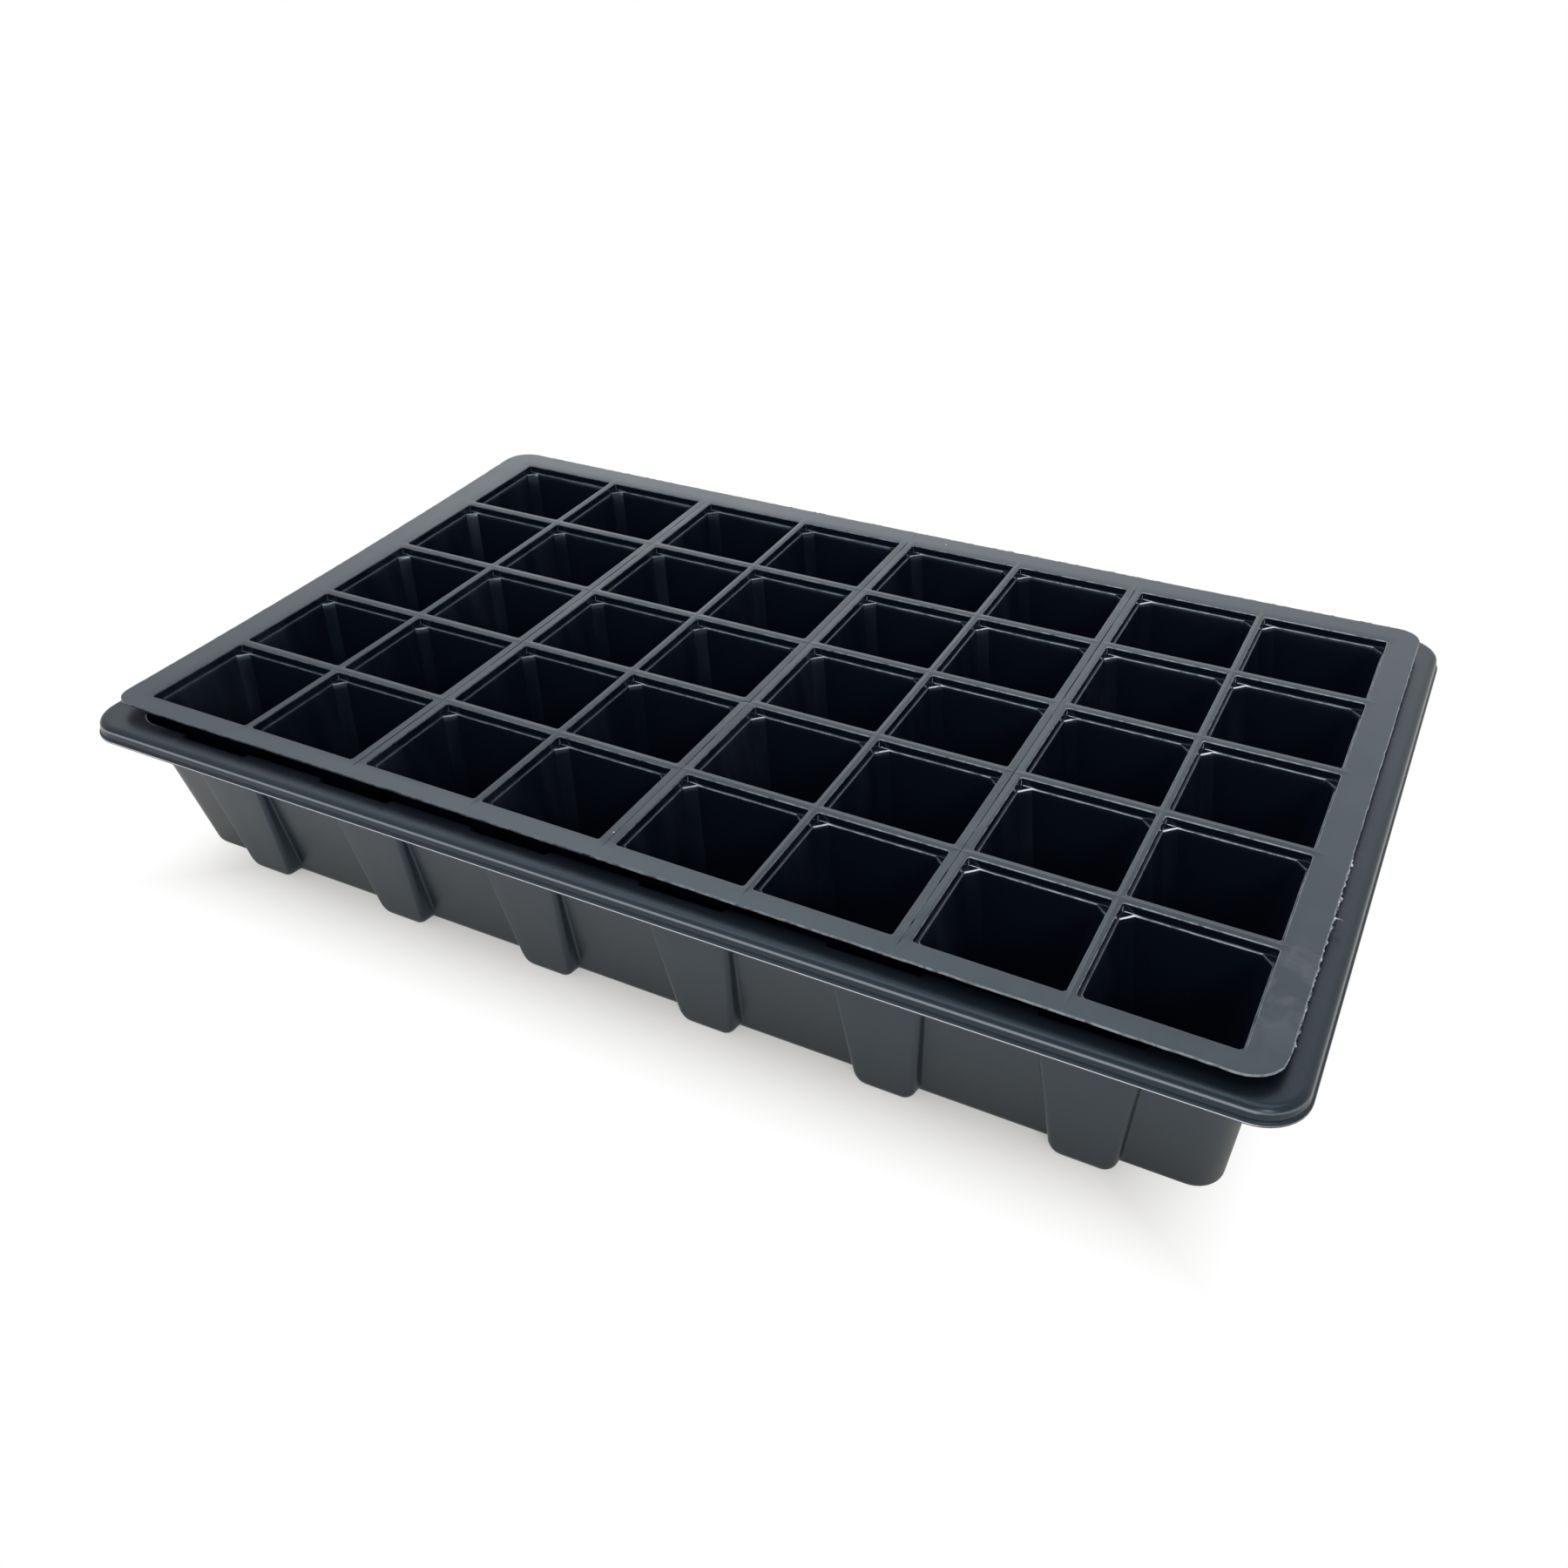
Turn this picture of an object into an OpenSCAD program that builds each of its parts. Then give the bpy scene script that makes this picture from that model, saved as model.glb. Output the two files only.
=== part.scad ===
// Cell seed tray: a watertight outer tray with drafted, ribbed walls and a turned-down rim,
// and a thin formed cell insert that stands in it. The insert is one sheet of square cells,
// scored between every second column into four strips that tear apart.
// Base on the XY plane, centred, length along X, front side towards -Y.

/* [Cells] */
// Opening of a cell along the tray
cell_l = 39.9; // [30:0.1:50]
// Opening of a cell across the tray
cell_w = 38.3; // [30:0.1:50]
// Corner radius of a cell opening
cell_r = 1.8; // [0.6:0.1:3]
// Web between the two columns of one strip
pair_web = 2.6; // [2:0.1:6]
// Web between two strips, with the tear line along its middle
strip_web = 5.4; // [4:0.1:10]
// Web between rows
row_web = 3.6; // [2:0.1:8]
// Cells along a strip
rows = 5; // [2:1:8]
// Upright collar below a cell's opening
collar_h = 3.8; // [2:0.1:8]
// Ledge between the collar and the pot
ledge_w = 1.1; // [0.8:0.1:3]
// Corner cut of the pot at the ledge
pot_cut = 4; // [2:0.1:7]
// Lean of a pot wall from the ledge down to the foot
pot_taper = 9; // [4:0.1:11]
// Corner cut of the pot at the foot
foot_cut = 2.6; // [1.2:0.1:4]
// Drain hole in each foot
drain_d = 8; // [4:0.5:11]

/* [Insert sheet] */
// Thickness of the formed sheet
sheet_t = 0.6; // [0.4:0.05:0.9]
// Flange beyond the cells at the left end
flange_left = 13.4; // [8:0.1:14]
// Flange beyond the cells at the right end
flange_right = 9.8; // [8:0.1:14]
// Flange beyond the cells at the front
flange_front = 7.6; // [7:0.1:14]
// Flange beyond the cells at the back
flange_back = 10.6; // [7:0.1:14]
// Corner radius of the flange
flange_r = 10; // [4:0.5:16]
// Height of the flange above the tray's rim
hover = 5; // [1:0.5:12]
// Length of a slit of the tear line
slit_l = 4; // [2:0.5:8]
// Width of a slit
slit_w = 0.6; // [0.4:0.1:1.2]
// Length of a tie between two slits
tie_l = 1.2; // [0.8:0.1:3]
// Gap between two strips at a tie
tear_gap = 0.1; // [0.05:0.05:0.3]

/* [Outer tray] */
// Height from the base to the top of the rim
tray_h = 56; // [45:0.5:80]
// Thickness of the tray's wall, floor and rim
tray_t = 1.2; // [0.8:0.1:2]
// Gap from the cells to the tray's mouth at each end
mouth_gap_l = 3.5; // [3:0.1:10]
// Gap from the cells to the tray's mouth along each side
mouth_gap_w = 6.7; // [5:0.1:14]
// Corner radius of the mouth
mouth_r = 10; // [5:0.5:16]
// Gap from the outer pots' feet to the floor's rounding at each end
foot_gap_l = 7.7; // [1:0.1:9]
// Gap from the outer pots' feet to the floor's rounding along each side
foot_gap_w = 1.4; // [0.3:0.1:4]
// Corner radius of the base
base_r = 8; // [6:0.5:16]
// Rounding where the walls meet the base
base_edge_r = 2.4; // [1.6:0.1:5]

/* [Rim] */
// Width of the rim at each end, from the mouth to the skirt's face
rim_end_w = 12.8; // [8:0.1:18]
// Width of the rim along each side, from the mouth to the skirt's face
rim_side_w = 9.1; // [6:0.1:16]
// Corner radius of the rim
rim_corner_r = 12; // [8:0.5:20]
// Rounding of the rim's top outer edge
rim_edge_r = 2.2; // [1.4:0.1:3.5]
// Height of the rim from its top to the underside of the lip
skirt_h = 5; // [4.5:0.1:12]
// Reach of the lip beyond the skirt's face
lip_out = 0.8; // [0.3:0.1:3]
// Thickness of the lip
lip_t = 0.8; // [0.5:0.1:1]

/* [Wall ribs] */
// Ribs on each long side
ribs_long = 6; // [2:1:8]
// Ribs on each short side
ribs_short = 3; // [2:1:4]
// Distance from the end of the base to the middle of the first rib
rib_end = 34; // [26:0.1:40]
// Width of a rib at the base
rib_base_w = 17; // [12:0.5:24]
// Width of a rib at the rim
rib_top_w = 28; // [16:0.5:34]
// Reach of a rib beyond the long wall at the base
rib_side_depth = 5; // [2:0.1:8]
// Reach of a rib beyond the short wall at the base
rib_end_depth = 1.7; // [0.6:0.1:3]
// Reach of a rib beyond the wall at the rim
rib_top_depth = 1.7; // [0.4:0.1:3]
// Rounding of a rib's lower corners
rib_corner_r = 5; // [2:0.1:6]

/* [Hidden] */

strip_count = 4;
strip_cols = 2;
arc_steps = 8;
over = 1;
$fn = 48;

strip_l = strip_cols * cell_l + (strip_cols - 1) * pair_web;
block_l = strip_count * strip_l + (strip_count - 1) * strip_web;
block_w = rows * cell_w + (rows - 1) * row_web;

insert_top = tray_h + hover;
ledge_z = insert_top - collar_h;
foot_z = tray_t;
pot_l = cell_l - 2 * ledge_w;
pot_w = cell_w - 2 * ledge_w;

mouth_half = [block_l / 2 + mouth_gap_l, block_w / 2 + mouth_gap_w];
foot_half = [block_l / 2, block_w / 2] - (ledge_w + pot_taper - sheet_t) * [1, 1];
floor_edge_r = max(base_edge_r - tray_t, 0.2);
base_half = foot_half + [foot_gap_l, foot_gap_w] + (floor_edge_r + tray_t) * [1, 1];
wall_half = mouth_half + tray_t * [1, 1];
skirt_half = mouth_half + [rim_end_w, rim_side_w];
shoulder_r = max(rim_edge_r, tray_t + 0.2);

tray_colour = "#3b4147";
insert_colour = "#2f3439";

// Points of a quarter circle, from the given angle on
function quarter(centre, r, from) =
    [for (i = [0:arc_steps]) centre + r * [cos(from + 90 * i / arc_steps), sin(from + 90 * i / arc_steps)]];

// Outline of a rectangle with round corners, counter-clockwise
function round_outline(half, r) =
    let (c = half - [r, r])
    concat(
        quarter([c.x, c.y], r, 0),
        quarter([-c.x, c.y], r, 90),
        quarter([-c.x, -c.y], r, 180),
        quarter([c.x, -c.y], r, 270)
    );

// Outline of a rectangle with cut corners, counter-clockwise
function cut_outline(half, cut) =
    [
        [half.x, cut - half.y], [half.x, half.y - cut], [half.x - cut, half.y], [cut - half.x, half.y],
        [-half.x, half.y - cut], [-half.x, cut - half.y], [cut - half.x, -half.y], [half.x - cut, -half.y]
    ];

// Solid through a stack of outlines that have the same number of points
module loft(outlines, levels) {
    n = len(outlines[0]);
    top = (len(levels) - 1) * n;
    points = [for (k = [0:len(levels) - 1]) for (p = outlines[k]) [p.x, p.y, levels[k]]];
    sides = [
        for (k = [0:len(levels) - 2]) for (i = [0:n - 1])
        let (a = k * n + i, b = k * n + (i + 1) % n)
        each [[a, a + n, b + n], [a, b + n, b]]
    ];
    ends = [[for (i = [0:n - 1]) i], [for (i = [n - 1:-1:0]) top + i]];
    polyhedron(points, concat(sides, ends));
}

module round_rect(half, r) {
    square(2 * [half.x - r, half.y], center = true);
    square(2 * [half.x, half.y - r], center = true);
    for (sx = [-1, 1], sy = [-1, 1]) {
        translate([sx * (half.x - r), sy * (half.y - r)])
            circle(r);
    }
}

// Body of the tray, drawn in by inset on all its faces: 0 for the outside, tray_t for the inside
module tray_body(inset, top) {
    edge = inset == 0 ? base_edge_r : floor_edge_r;
    turns = [for (i = [0:arc_steps / 2]) 180 * i / arc_steps];
    levels = concat([for (a = turns) inset + edge * (1 - cos(a))], [top]);
    draw_in = concat([for (a = turns) edge * (1 - sin(a))], [0]);
    outlines = [
        for (k = [0:len(levels) - 1])
        let (
            share = levels[k] / tray_h,
            half = base_half + share * (wall_half - base_half),
            r = base_r + share * (mouth_r + tray_t - base_r),
            d = inset + draw_in[k]
        )
        round_outline(half - d * [1, 1], max(r - d, 0.5))
    ];
    loft(outlines, levels);
}

// Points that round a corner of an outline
function fillet(before, corner, after, r) =
    let (
        u = (before - corner) / norm(before - corner),
        v = (after - corner) / norm(after - corner),
        half_angle = acos(u * v) / 2,
        centre = corner + (u + v) / norm(u + v) * r / sin(half_angle),
        start = corner + u * r / tan(half_angle) - centre,
        end = corner + v * r / tan(half_angle) - centre
    )
    [
        for (i = [0:arc_steps])
        let (w = start * (1 - i / arc_steps) + end * i / arc_steps)
        centre + w * r / norm(w)
    ];

// Rib on a wall that faces -Y, from its front outline and its side outline
module rib(base_at, top_at, depth, inset, top) {
    r = max(rib_corner_r - inset, 0.5);
    low = rib_base_w / 2 - inset;
    high = rib_top_w / 2 - inset;
    lean = (high - low) / tray_h;
    inner = base_at - tray_t - over;
    base_face = base_at + depth - inset;
    face_lean = (top_at + rib_top_depth - base_at - depth) / tray_h;
    left_top = [-high - lean * (top - tray_h), top];
    left_low = [-low, inset];
    right_low = [low, inset];
    right_top = [high + lean * (top - tray_h), top];
    intersection() {
        translate([0, over - inner, 0])
            rotate([90, 0, 0])
                linear_extrude(height = base_face - inner + top_at + rib_top_depth)
                    polygon(concat(
                        [right_top, left_top],
                        fillet(left_top, left_low, right_low, r),
                        fillet(left_low, right_low, right_top, r)
                    ));
        rotate([90, 0, -90])
            linear_extrude(height = 2 * high + rib_top_w, center = true)
                polygon([
                    [inner, inset],
                    [base_face, inset],
                    [base_face + face_lean * top, top],
                    [inner, top]
                ]);
    }
}

// All the ribs, as the tray's outside (inset 0) or its inside (inset tray_t)
module ribs(inset, top) {
    reach = base_half - rib_end * [1, 1];
    for (turn = [0, 180]) {
        for (i = [0:ribs_long - 1])
            rotate(turn)
                translate([reach.x * (2 * i / (ribs_long - 1) - 1), 0, 0])
                    rib(base_half.y, wall_half.y, rib_side_depth, inset, top);
        for (i = [0:ribs_short - 1])
            rotate(turn + 90)
                translate([reach.y * (2 * i / (ribs_short - 1) - 1), 0, 0])
                    rib(base_half.x, wall_half.x, rib_end_depth, inset, top);
    }
}

// Section of the rim's turned-down edge, with the skirt's face at x = rim_corner_r
module rim_section() {
    skirt_x = rim_corner_r - tray_t;
    skirt_z = tray_h - skirt_h;
    translate([rim_corner_r - shoulder_r, tray_h - shoulder_r])
        intersection() {
            difference() {
                circle(shoulder_r);
                circle(shoulder_r - tray_t);
            }
            square(shoulder_r);
        }
    translate([skirt_x, skirt_z])
        square([tray_t, skirt_h - shoulder_r]);
    translate([skirt_x, skirt_z])
        square([tray_t + lip_out, lip_t]);
}

module rim() {
    corner = skirt_half - rim_corner_r * [1, 1];
    for (k = [0:3]) {
        sx = (k == 0 || k == 3) ? 1 : -1;
        sy = k < 2 ? 1 : -1;
        translate([sx * corner.x, sy * corner.y, 0])
            rotate(90 * k) {
                rotate_extrude(angle = 90)
                    rim_section();
                rotate([90, 0, 0])
                    linear_extrude(height = 2 * (k % 2 == 0 ? corner.y : corner.x))
                        rim_section();
            }
    }
    translate([0, 0, tray_h - tray_t])
        linear_extrude(height = tray_t)
            round_rect(skirt_half - shoulder_r * [1, 1], rim_corner_r - shoulder_r);
}

module outer_tray() {
    color(tray_colour)
        difference() {
            union() {
                tray_body(0, tray_h - tray_t / 2);
                ribs(0, tray_h - tray_t / 2);
                rim();
            }
            tray_body(tray_t, tray_h + over);
            ribs(tray_t, tray_h + over);
        }
}

// Pot below a cell's ledge, grown outwards by grow and cut off above the floor by rise
module pot(grow, rise, top) {
    drop = ledge_z - foot_z;
    outlines = [
        for (z = [foot_z + rise, top])
        let (
            share = (ledge_z - z) / drop,
            lean = grow - pot_taper * share,
            cut = pot_cut + (foot_cut - pot_cut) * share + (2 - sqrt(2)) * grow
        )
        cut_outline([pot_l / 2 + lean, pot_w / 2 + lean], cut)
    ];
    loft(outlines, [foot_z + rise, top]);
}

module cell_outside() {
    translate([0, 0, ledge_z - sheet_t])
        linear_extrude(height = collar_h + sheet_t)
            round_rect([cell_l / 2 + sheet_t, cell_w / 2 + sheet_t], cell_r + sheet_t);
    pot(sheet_t, 0, ledge_z - sheet_t / 2);
}

module cell_inside() {
    translate([0, 0, ledge_z])
        linear_extrude(height = collar_h + over)
            round_rect([cell_l / 2, cell_w / 2], cell_r);
    pot(0, sheet_t, ledge_z + over / 2);
    translate([0, 0, foot_z - over])
        cylinder(d = drain_d, h = sheet_t + 2 * over);
}

// Slits of the tear line along the edge of a strip, centred on the edge
module tear_slits() {
    pitch = slit_l + tie_l;
    count = floor((block_w + tie_l) / pitch);
    for (i = [0:count - 1])
        translate([0, (i - (count - 1) / 2) * pitch])
            square([slit_w, slit_l], center = true);
}

// Sheet of a strip, between its two edges
module strip_sheet(index, left, right) {
    front = -block_w / 2 - flange_front;
    back = block_w / 2 + flange_back;
    sheet_left = -block_l / 2 - flange_left;
    sheet_right = block_l / 2 + flange_right;
    translate([0, 0, insert_top - sheet_t])
        linear_extrude(height = sheet_t)
            difference() {
                intersection() {
                    translate([(sheet_left + sheet_right) / 2, (front + back) / 2])
                        round_rect([(sheet_right - sheet_left) / 2, (back - front) / 2], flange_r);
                    translate([left, front - over])
                        square([right - left, back - front + 2 * over]);
                }
                if (index > 0)
                    translate([left - tear_gap / 2, 0])
                        tear_slits();
                if (index < strip_count - 1)
                    translate([right + tear_gap / 2, 0])
                        tear_slits();
            }
}

module cell_strip(index) {
    first_x = -block_l / 2 + index * (strip_l + strip_web);
    half_web = (strip_web - tear_gap) / 2;
    left = index == 0 ? -block_l / 2 - flange_left : first_x - half_web;
    right = index == strip_count - 1 ? block_l / 2 + flange_right : first_x + strip_l + half_web;
    cells = [
        for (c = [0:strip_cols - 1], r = [0:rows - 1])
        [
            first_x + cell_l / 2 + c * (cell_l + pair_web),
            -block_w / 2 + cell_w / 2 + r * (cell_w + row_web),
            0
        ]
    ];
    color(insert_colour)
        difference() {
            union() {
                strip_sheet(index, left, right);
                for (at = cells)
                    translate(at)
                        cell_outside();
            }
            for (at = cells)
                translate(at)
                    cell_inside();
        }
}

outer_tray();
cell_strip(0);  // cell_strip_1
cell_strip(1);  // cell_strip_2
cell_strip(2);  // cell_strip_3
cell_strip(3);  // cell_strip_4
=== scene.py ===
import math
import random

import bpy
import numpy as np
from mathutils import Matrix, Vector, noise


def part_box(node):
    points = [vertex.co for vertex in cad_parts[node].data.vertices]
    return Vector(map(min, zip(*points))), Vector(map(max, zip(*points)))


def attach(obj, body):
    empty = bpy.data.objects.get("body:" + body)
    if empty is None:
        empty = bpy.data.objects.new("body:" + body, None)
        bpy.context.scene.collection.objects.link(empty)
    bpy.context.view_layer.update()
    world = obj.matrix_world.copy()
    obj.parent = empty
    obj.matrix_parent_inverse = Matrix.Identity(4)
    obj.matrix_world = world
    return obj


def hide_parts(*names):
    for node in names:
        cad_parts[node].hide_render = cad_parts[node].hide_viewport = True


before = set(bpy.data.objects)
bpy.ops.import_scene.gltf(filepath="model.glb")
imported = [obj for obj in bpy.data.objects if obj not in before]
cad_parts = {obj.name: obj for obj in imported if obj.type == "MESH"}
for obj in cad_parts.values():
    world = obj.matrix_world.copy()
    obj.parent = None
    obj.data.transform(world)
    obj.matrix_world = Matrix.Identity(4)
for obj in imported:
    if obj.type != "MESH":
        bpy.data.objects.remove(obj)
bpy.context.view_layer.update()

# Outer tray: one moulded shell of charcoal polypropylene, about 1.2 mm thick all over.
# Hollow ribs stiffen its drafted walls, and the flat rim turns down into a skirt with a thin lip.
# Sizes are in millimetres. Pairs of rib sizes are for the long sides and for the short sides.
mm = 0.001
tray_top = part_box("outer_tray")[1].z / mm
tray_wall = 1.2
base_half = np.array([173.5, 97.25])
mouth_half = np.array([176.4, 109.65])
skirt_half = np.array([189.2, 118.75])
base_corner = 8.0
mouth_corner = 11.2
skirt_corner = 12.0
tray_corner_steps = 10
base_round = 2.4
floor_round = 1.2
flat_margin = 1.0
mouth_round = 0.8
rim_round = 2.2
rim_flat_from = 2.8
rim_fillet = 1.0
lip_round = 0.4
lip_drop = 5.0
rib_places = ((-139.5, -83.7, -27.9, 27.9, 83.7, 139.5), (-63.25, 0.0, 63.25))
rib_depth_low = (5.0, 1.7)
rib_depth_high = (1.7, 1.7)
rib_half_low = 8.5
rib_half_high = 14.0
rib_corner = 5.0
rib_side_slope = 0.16
rib_lead = 2.4
rib_face_step = 0.45
rib_narrower_inside = 0.85 * tray_wall
smallest_corner = 0.6

# Roundings of a rib at its foot and its face, as (most, share of the rib's depth).
rib_rounds_outside = ((0.7, 0.35), (1.8, 0.65))
rib_rounds_inside = ((1.9, 0.65), (0.6, 0.25))

# Inside and outside of the skirt, as (out from its face, down from the rim's top).
skirt_inside = ((-2.2, 1.2), (-1.7, 1.3), (-1.35, 1.6), (-1.2, 2.0), (-1.2, 4.0), (-1.2, 4.8), (-1.0, 5.0))
skirt_outside = (
    (0.24, 4.16), (0.08, 4.05), (0.0, 3.85), (0.03, 3.5),
    (0.1, 3.2), (0.12, 2.95), (0.09, 2.7), (0.02, 2.4),
)


def turn_corner(before, corner, after, radius, steps):
    """Points of the arc that rounds a corner of a flat outline."""
    u = (before - corner) / np.linalg.norm(before - corner)
    v = (after - corner) / np.linalg.norm(after - corner)
    half = math.acos(max(-1.0, min(1.0, float(u @ v)))) / 2
    centre = corner + (u + v) / np.linalg.norm(u + v) * radius / math.sin(half)
    start = corner + u * radius / math.tan(half) - centre
    end = corner + v * radius / math.tan(half) - centre
    blends = (start * (1 - i / steps) + end * i / steps for i in range(steps + 1))
    return [centre + w * radius / np.linalg.norm(w) for w in blends]


def corner_arc(along, across, radius, steps):
    """Points round the corner at the right end of a front side, both ends included."""
    centre = np.array([along - radius, radius - across])
    turns = [math.radians(-90 + 90 * k / steps) for k in range(steps + 1)]
    return [centre + radius * np.array([math.cos(a), math.sin(a)]) for a in turns]


def quarter_turns(points, quarters):
    """Points of a front side, turned round to another side."""
    spin = math.radians(90 * quarters)
    turn = np.array([[math.cos(spin), -math.sin(spin)], [math.sin(spin), math.cos(spin)]])
    return [turn @ p for p in points]


def rounding(radius, angle):
    """How far the point at an angle of a rounded edge lies inside the two faces that meet there."""
    turn = math.radians(angle)
    return radius * (1 - math.cos(turn)), radius * (1 - math.sin(turn))


def rib_section(half, depth, foot_round, face_round):
    """Plan of one rib as (along the wall, out of the wall), from its left side to its right side."""
    foot = np.array([-half - rib_side_slope * depth, 0.0])
    lead = foot - [rib_lead, 0.0]
    edge = np.array([-half, depth])
    middle = np.array([0.0, depth])
    left = [lead] + turn_corner(lead, foot, edge, foot_round, 4)
    left += turn_corner(foot, edge, middle, face_round, 6)
    left.append(np.array([rib_face_step * left[-1][0], depth]))
    return left + [middle] + [p * [-1, 1] for p in reversed(left)]


def tray_outline(half, radius, height, inside=False, ribbed=True):
    """Points round the tray at one height, anticlockwise, with the same count for every height."""
    share = max(0.0, min(1.0, height / tray_top))
    below_corner = max(0.0, rib_corner - height)
    width = rib_half_low + share * (rib_half_high - rib_half_low)
    width -= rib_corner - math.sqrt(max(rib_corner ** 2 - below_corner ** 2, 0.0))
    width -= rib_narrower_inside if inside else 0.0
    rounds = rib_rounds_inside if inside else rib_rounds_outside
    points = []
    for side in range(4):
        kind = side % 2
        along, across = half[kind], half[1 - kind]
        depth = rib_depth_low[kind] + share * (rib_depth_high[kind] - rib_depth_low[kind])
        foot_round, face_round = (min(most, part * depth) for most, part in rounds)
        section = rib_section(width, depth, foot_round, face_round)
        run = [np.array([radius - along, 0.0])]
        for rib_place in rib_places[kind]:
            rib = [p + [rib_place, 0.0] for p in section]
            gap = rib[0][0] - run[-1][0]
            run += [run[-1] + [gap * k / 4, -run[-1][1]] for k in (1, 2, 3)] + rib
        gap = along - radius - run[-1][0]
        run += [run[-1] + [gap * k / 4, 0.0] for k in (1, 2, 3, 4)]
        run = [np.array([t, -across - (out if ribbed else 0.0)]) for t, out in run]
        run += corner_arc(along, across, radius, tray_corner_steps)[1:-1]
        points += quarter_turns(run, side)
    return np.array(points)


def wall_ring(height, out=0.0, inside=False):
    """Ring on the wall's outside or inside, moved out, as (outline, height, painted highlight)."""
    share = height / tray_top
    half = base_half + share * (mouth_half + tray_wall - base_half)
    radius = base_corner + share * (mouth_corner - base_corner)
    shift = out - (tray_wall if inside else 0.0)
    outline = tray_outline(half + shift, max(radius + shift, smallest_corner), height, inside)
    return outline, height, 0.0


def rim_ring(inset, drop, wear=0.0):
    """Ring on the rim or skirt, by how far it is in from the skirt's face and down from the rim's top."""
    outline = tray_outline(skirt_half - inset, skirt_corner - inset, tray_top, ribbed=False)
    return outline, tray_top - drop, wear


def ring_points(rings):
    """Points of rings in metres, ring after ring."""
    return [(x * mm, y * mm, z * mm) for outline, z, mark in rings for x, y in outline]


def ring_faces(levels, count, start=0):
    """Four-sided faces that join rings of the same count, facing out of a shell or into a cell."""
    faces = []
    for low in range(start, start + (levels - 1) * count, count):
        for i in range(count):
            j = (i + 1) % count
            faces.append((low + i, low + j, low + count + j, low + count + i))
    return faces


def make_mesh(name, points, edges, faces, **marks):
    """Mesh with a number on every point for each mark, such as a painted highlight."""
    mesh = bpy.data.meshes.new(name)
    mesh.from_pydata(points, edges, faces)
    for mark, values in marks.items():
        mesh.attributes.new(mark, "FLOAT", "POINT").data.foreach_set("value", values)
    return mesh


def put_in_scene(name, data):
    """Object at the origin for a mesh, lamp or camera."""
    thing = bpy.data.objects.new(name, data)
    bpy.context.scene.collection.objects.link(thing)
    return thing


# The shell's section runs from the base up the outside, under the rim, round the skirt and lip, over the
# rim and down the inside to the floor. The lip and the rim's shoulder carry a pale painted highlight,
# weaker at the right end.
lip_highlight = 1.0
shoulder_highlight = 0.5
dimmer_highlight = 0.6
dimmer_highlight_from = 180
tray_rings = [wall_ring(0.0, -base_round - flat_margin)]
for angle in (0, 15, 30, 45, 60, 75, 90):
    rise, inset = rounding(base_round, angle)
    tray_rings.append(wall_ring(rise, -inset))
fillet_start = tray_top - tray_wall - rim_fillet
for height in (3.0, 3.7, 4.5, 5.5, 7, 10, 14, 19, 25, 31, 37, 43, 48, 51.5, 53.2, fillet_start):
    tray_rings.append(wall_ring(height))
for angle in (20, 40, 60, 80, 90):
    out, drop = rounding(rim_fillet, angle)
    tray_rings.append(wall_ring(tray_top - tray_wall - drop, out))
for out, drop in skirt_inside:
    tray_rings.append(rim_ring(-out, drop))
for angle in range(0, 181, 30):
    rise, inset = rounding(lip_round, angle)
    # The lip's bright line is a painted highlight.
    tray_rings.append(rim_ring(inset - 2 * lip_round, lip_drop - rise, lip_highlight if angle == 120 else 0.0))
for out, drop in skirt_outside:
    tray_rings.append(rim_ring(-out, drop))
for angle in (0, 8, 17, 27, 37, 50, 62, 75, 90):
    inset, drop = rounding(rim_round, angle)
    # The band on the rim's shoulder is a painted highlight.
    tray_rings.append(rim_ring(inset, drop, shoulder_highlight if angle in (17, 27) else 0.0))
tray_rings.append(rim_ring(rim_flat_from, 0.0))
for angle in range(0, 91, 18):
    drop, out = rounding(mouth_round, angle)
    tray_rings.append(wall_ring(tray_top - drop, out, inside=True))
for height in (51, 45, 38, 31, 25, 19, 14, 10, 7, 5.4, 4.4, 3.6, 3.0):
    tray_rings.append(wall_ring(height, inside=True))
for angle in (90, 72, 54, 36, 18, 0):
    rise, inset = rounding(floor_round, angle)
    tray_rings.append(wall_ring(tray_wall + rise, -inset, inside=True))
tray_rings.append(wall_ring(tray_wall, -floor_round - flat_margin, inside=True))

tray_highlight = [
    wear * (dimmer_highlight if x > dimmer_highlight_from else 1.0) for outline, z, wear in tray_rings for x, y in outline
]
tray_count = len(tray_rings[0][0])
tray_points = ring_points(tray_rings)
base_face = tuple(reversed(range(tray_count)))
floor_face = tuple(range(len(tray_points) - tray_count, len(tray_points)))
tray_faces = [base_face] + ring_faces(len(tray_rings), tray_count) + [floor_face]
tray_mesh = make_mesh("outer_tray_shell", tray_points, [], tray_faces, wear=tray_highlight)
tray_mesh.shade_smooth()
for flat_face in (0, -1):
    tray_mesh.polygons[flat_face].use_smooth = False
tray_mesh.set_sharp_from_angle(angle=math.radians(40))
tray = put_in_scene("outer_tray_shell", tray_mesh)


def colour(code):
    """Screen colour such as #3a3f44 as linear light for a shader."""
    parts = [int(code[i:i + 2], 16) / 255 for i in (1, 3, 5)]
    return tuple(c / 12.92 if c <= 0.04045 else ((c + 0.055) / 1.055) ** 2.4 for c in parts) + (1.0,)


def add(tree, kind, out=None, inputs=None, stops=(), **settings):
    """Adds a node with settings, values, links and colour stops, and gives one output or all of them."""
    node = tree.nodes.new(kind)
    for name, value in settings.items():
        setattr(node, name, value)
    for key, value in (inputs or {}).items():
        for source in value if isinstance(value, list) else [value]:
            if isinstance(source, bpy.types.NodeSocket):
                tree.links.new(source, node.inputs[key])
            else:
                node.inputs[key].default_value = source
    if stops:
        elements = node.color_ramp.elements
        elements[0].position = stops[0][0]
        elements[1].position = stops[-1][0]
        for position, shade in stops[1:-1]:
            elements.new(position)
        for element, (position, shade) in zip(elements, stops):
            element.color = colour(shade)
    return node.outputs if out is None else node.outputs[out]


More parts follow.
